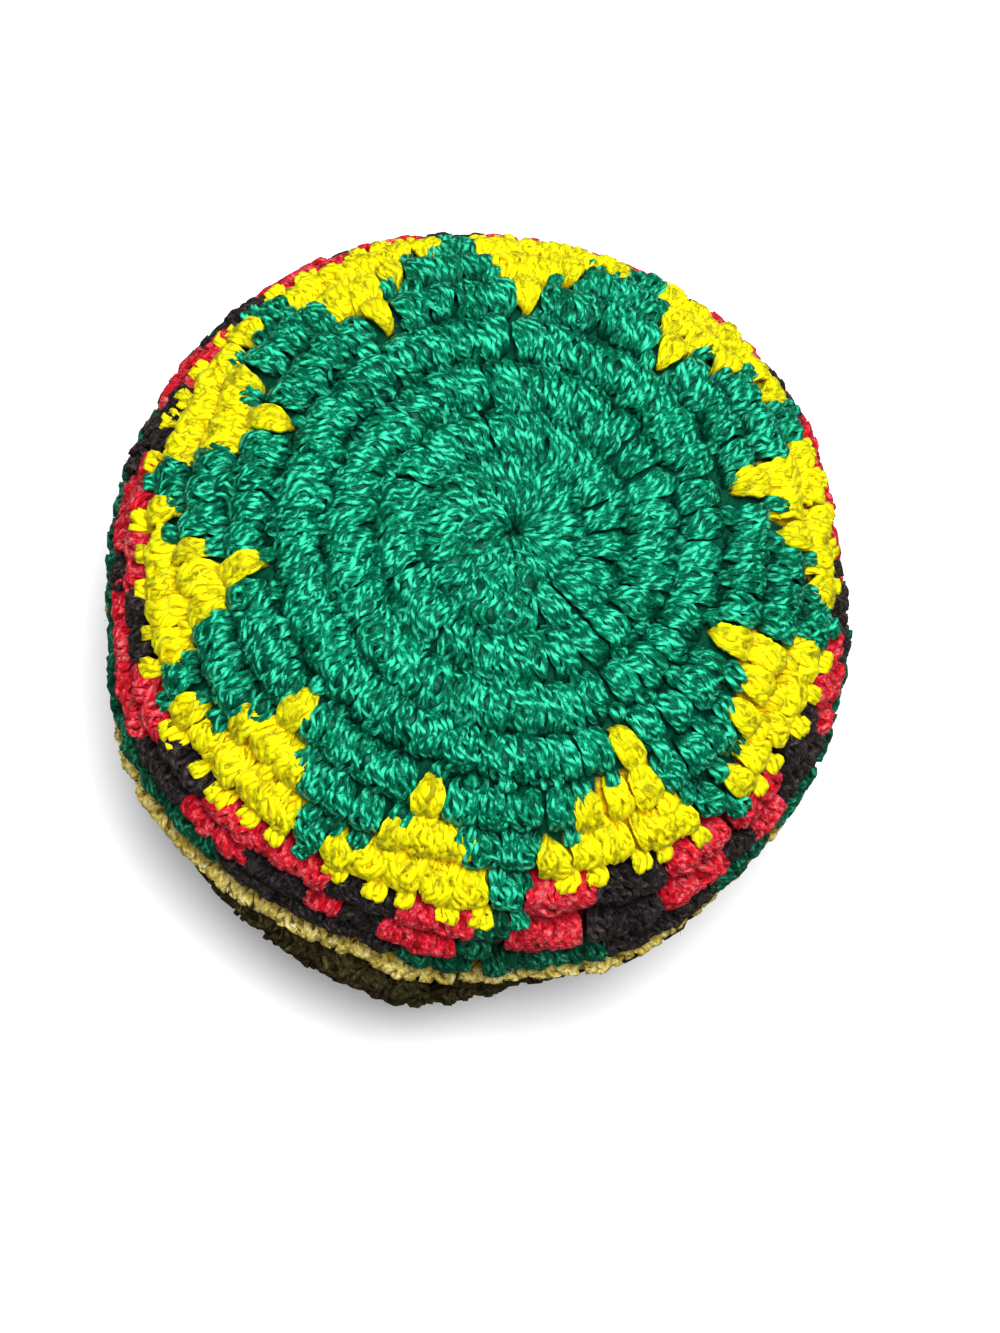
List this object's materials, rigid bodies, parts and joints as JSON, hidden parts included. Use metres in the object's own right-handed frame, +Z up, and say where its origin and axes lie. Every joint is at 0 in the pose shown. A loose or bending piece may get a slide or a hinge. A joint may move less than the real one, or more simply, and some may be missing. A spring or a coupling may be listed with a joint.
{
  "type": "crocheted footbag",
  "caption": "Squat round crocheted bag with a green top, yellow teeth, red and black blocks and a yellow stripe, filled with pellets, for kicking games.",
  "frame": {"origin": "middle of the level underside, on the surface that the bag stands on", "axes": "+Z up through the middle of the bag and of the spiral of stitches"},
  "size_m": [0.0568, 0.0567, 0.042],
  "materials": {
    "green_yarn": "soft sheen of plied yarn",
    "yellow_yarn": "soft sheen of plied yarn",
    "red_yarn": "matte, slightly fuzzy yarn",
    "black_yarn": "matte, slightly fuzzy yarn",
    "pouch_cloth": "thin matte cloth",
    "pellet_plastic": "satin"
  },
  "bodies": {
    "root": {"top_panel": "green_yarn", "tooth_01": "yellow_yarn", "tooth_02": "yellow_yarn", "tooth_03": "yellow_yarn", "tooth_04": "yellow_yarn", "tooth_05": "yellow_yarn", "tooth_06": "yellow_yarn", "tooth_07": "yellow_yarn", "tooth_08": "yellow_yarn", "tooth_09": "yellow_yarn", "tooth_10": "yellow_yarn", "red_block_01": "red_yarn", "red_block_02": "red_yarn", "red_block_03": "red_yarn", "red_block_04": "red_yarn", "red_block_05": "red_yarn", "red_block_06": "red_yarn", "red_block_07": "red_yarn", "red_block_08": "red_yarn", "red_block_09": "red_yarn", "red_block_10": "red_yarn", "red_block_11": "red_yarn", "red_block_12": "red_yarn", "black_block_01": "black_yarn", "black_block_02": "black_yarn", "black_block_03": "black_yarn", "black_block_04": "black_yarn", "black_block_05": "black_yarn", "black_block_06": "black_yarn", "black_block_07": "black_yarn", "black_block_08": "black_yarn", "black_block_09": "black_yarn", "black_block_10": "black_yarn", "black_block_11": "black_yarn", "green_block_01": "green_yarn", "green_band_01": "green_yarn", "green_band_02": "green_yarn", "green_band_03": "green_yarn", "black_band_01": "black_yarn", "black_band_02": "black_yarn", "yellow_stripe": "yellow_yarn", "lower_side": "green_yarn", "base_panel": "green_yarn", "closing_knot": "green_yarn", "pouch": "pouch_cloth", "pellet_fill": "pellet_plastic"}
  },
  "joints": []
}
